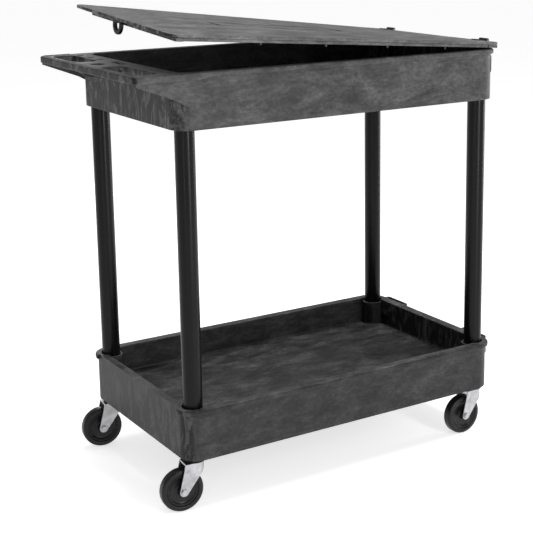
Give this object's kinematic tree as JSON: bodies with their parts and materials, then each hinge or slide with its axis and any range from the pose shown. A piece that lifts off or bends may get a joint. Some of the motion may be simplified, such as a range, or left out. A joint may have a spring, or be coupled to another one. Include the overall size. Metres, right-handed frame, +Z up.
{
  "type": "tool cart",
  "caption": "Two-shelf utility cart: moulded tubs on round legs, hinged flat lid with hasp over the upper tub, push handle with grip holes, swivel casters.",
  "frame": {"origin": "on the floor, under the middle of the whole cart's box", "axes": "+X from the push handle to the lid's hinge end, +Y from front to back across the cart, +Z up"},
  "size_m": [0.871, 0.4696, 0.9743],
  "materials": {
    "upper_plastic": "mottled moulded foam, dark grey, slight sheen",
    "lower_plastic": "mottled moulded foam, charcoal, slight sheen",
    "lid_plastic": "swirled moulded foam, mid grey",
    "leg_plastic": "glossy black tube",
    "black_steel": "satin black coated steel",
    "zinc_steel": "bright zinc plate",
    "wheel_plastic": "black moulded wheel",
    "tyre_rubber": "black solid rubber"
  },
  "bodies": {
    "cart": {"top_tray": "upper_plastic", "bottom_tray": "lower_plastic", "leg_front_left": "leg_plastic", "leg_front_right": "leg_plastic", "leg_back_left": "leg_plastic", "leg_back_right": "leg_plastic", "stem_plug_front_left": "leg_plastic", "stem_plug_front_right": "leg_plastic", "stem_plug_back_left": "leg_plastic", "stem_plug_back_right": "leg_plastic", "caster_stem_front_left": "black_steel", "caster_stem_front_right": "black_steel", "caster_stem_back_left": "black_steel", "caster_stem_back_right": "black_steel", "hinge_tub_leaf_front": "black_steel", "hinge_tub_leaf_back": "black_steel", "hinge_pin_front": "zinc_steel", "hinge_pin_back": "zinc_steel"},
    "lid": {"lid_panel": "lid_plastic", "lid_batten_front": "lid_plastic", "lid_batten_back": "lid_plastic", "lid_batten_hinge": "lid_plastic", "lid_end_bar": "lid_plastic", "hasp": "black_steel", "hinge_lid_leaf_front": "black_steel", "hinge_lid_leaf_back": "black_steel", "lid_screw_front_1": "zinc_steel", "lid_screw_front_2": "zinc_steel", "lid_screw_front_3": "zinc_steel", "lid_screw_front_4": "zinc_steel", "lid_screw_back_1": "zinc_steel", "lid_screw_back_2": "zinc_steel", "lid_screw_back_3": "zinc_steel", "lid_screw_back_4": "zinc_steel"},
    "caster_front_left": {"fork_front_left": "zinc_steel", "axle_front_left": "zinc_steel", "axle_nut_front_left": "zinc_steel"},
    "wheel_front_left": {"wheel_core_front_left": "wheel_plastic", "tyre_front_left": "tyre_rubber"},
    "caster_front_right": {"fork_front_right": "zinc_steel", "axle_front_right": "zinc_steel", "axle_nut_front_right": "zinc_steel"},
    "wheel_front_right": {"wheel_core_front_right": "wheel_plastic", "tyre_front_right": "tyre_rubber"},
    "caster_back_left": {"fork_back_left": "zinc_steel", "axle_back_left": "zinc_steel", "axle_nut_back_left": "zinc_steel"},
    "wheel_back_left": {"wheel_core_back_left": "wheel_plastic", "tyre_back_left": "tyre_rubber"},
    "caster_back_right": {"fork_back_right": "zinc_steel", "axle_back_right": "zinc_steel", "axle_nut_back_right": "zinc_steel"},
    "wheel_back_right": {"wheel_core_back_right": "wheel_plastic", "tyre_back_right": "tyre_rubber"}
  },
  "joints": [
    {"name": "lid_hinge", "type": "hinge", "parent": "cart", "child": "lid", "pos_m": [0.4255, 0, 0.8856], "axis": [0, 1, 0], "range_deg": [-4.4, 254]},
    {"name": "swivel_front_left", "type": "hinge", "parent": "cart", "child": "caster_front_left", "pos_m": [-0.319, -0.195, 0.1], "axis": [0, 0, 1], "continuous": true},
    {"name": "wheel_spin_front_left", "type": "hinge", "parent": "caster_front_left", "child": "wheel_front_left", "pos_m": [-0.34834, -0.19192, 0.044], "axis": [0.1045, 0.9945, 0], "continuous": true},
    {"name": "swivel_front_right", "type": "hinge", "parent": "cart", "child": "caster_front_right", "pos_m": [0.388, -0.195, 0.1], "axis": [0, 0, 1], "continuous": true},
    {"name": "wheel_spin_front_right", "type": "hinge", "parent": "caster_front_right", "child": "wheel_front_right", "pos_m": [0.3585, -0.19551, 0.044], "axis": [-0.0175, 0.9998, 0], "continuous": true},
    {"name": "swivel_back_left", "type": "hinge", "parent": "cart", "child": "caster_back_left", "pos_m": [-0.319, 0.195, 0.1], "axis": [0, 0, 1], "continuous": true},
    {"name": "wheel_spin_back_left", "type": "hinge", "parent": "caster_back_left", "child": "wheel_back_left", "pos_m": [-0.34828, 0.19859, 0.044], "axis": [0.1219, 0.9925, 0], "continuous": true},
    {"name": "swivel_back_right", "type": "hinge", "parent": "cart", "child": "caster_back_right", "pos_m": [0.388, 0.195, 0.1], "axis": [0, 0, 1], "continuous": true},
    {"name": "wheel_spin_back_right", "type": "hinge", "parent": "caster_back_right", "child": "wheel_back_right", "pos_m": [0.35852, 0.19603, 0.044], "axis": [0.0349, 0.9994, 0], "continuous": true}
  ]
}
